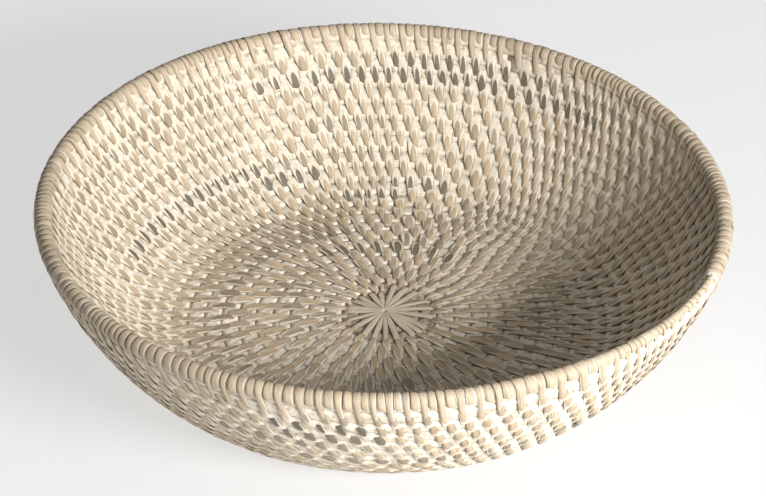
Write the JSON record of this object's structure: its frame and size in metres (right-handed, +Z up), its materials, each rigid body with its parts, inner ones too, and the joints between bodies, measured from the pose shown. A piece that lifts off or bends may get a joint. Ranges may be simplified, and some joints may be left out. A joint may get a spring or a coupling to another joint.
{
  "type": "coiled rattan bowl basket",
  "caption": "Shallow round bowl basket, coiled from a round rattan core rod sewn with whitewashed split rattan strips.",
  "frame": {"origin": "middle of the circle that the bowl stands on, at its underside", "axes": "+Z up out of the bowl's mouth; the outer end of the core rod lies at the rim on the +X side"},
  "size_m": [0.2966, 0.2981, 0.0743],
  "materials": {
    "core_rod": "matt bare rattan core",
    "sewing_strip": "split rattan, whitewashed and rubbed back to tan",
    "star_strip": "split rattan, thinly whitewashed",
    "rim_strip": "split rattan, whitewashed, rubbed back on the crown of the rim"
  },
  "bodies": {
    "root": {"core_rod_1": "core_rod", "core_rod_2": "core_rod", "core_rod_3": "core_rod", "core_rod_4": "core_rod", "core_rod_5": "core_rod", "core_rod_6": "core_rod", "core_rod_7": "core_rod", "rim_end_binding": "rim_strip", "rim_strip_1": "rim_strip", "rim_strip_2": "rim_strip", "rim_strip_3": "rim_strip", "sewing_strip_01": "sewing_strip", "sewing_strip_02": "sewing_strip", "sewing_strip_03": "sewing_strip", "sewing_strip_04": "sewing_strip", "sewing_strip_05": "sewing_strip", "sewing_strip_06": "sewing_strip", "sewing_strip_07": "sewing_strip", "sewing_strip_08": "sewing_strip", "sewing_strip_09": "sewing_strip", "sewing_strip_10": "sewing_strip", "sewing_strip_11": "sewing_strip", "sewing_strip_12": "sewing_strip", "sewing_strip_13": "sewing_strip", "sewing_strip_14": "sewing_strip", "sewing_strip_15": "sewing_strip", "sewing_strip_16": "sewing_strip", "sewing_strip_17": "sewing_strip", "sewing_strip_18": "sewing_strip", "sewing_strip_19": "sewing_strip", "sewing_strip_20": "sewing_strip", "sewing_strip_21": "sewing_strip", "sewing_strip_22": "sewing_strip", "sewing_strip_23": "sewing_strip", "sewing_strip_24": "sewing_strip", "sewing_strip_25": "sewing_strip", "sewing_strip_26": "sewing_strip", "sewing_strip_27": "sewing_strip", "sewing_strip_28": "sewing_strip", "sewing_strip_29": "sewing_strip", "sewing_strip_30": "sewing_strip", "sewing_strip_31": "sewing_strip", "sewing_strip_32": "sewing_strip", "sewing_strip_33": "sewing_strip", "sewing_strip_34": "sewing_strip", "sewing_strip_35": "sewing_strip", "sewing_strip_36": "sewing_strip", "sewing_strip_37": "sewing_strip", "sewing_strip_38": "sewing_strip", "sewing_strip_39": "sewing_strip", "sewing_strip_40": "sewing_strip", "sewing_strip_41": "sewing_strip", "star_strips": "star_strip"}
  },
  "joints": []
}
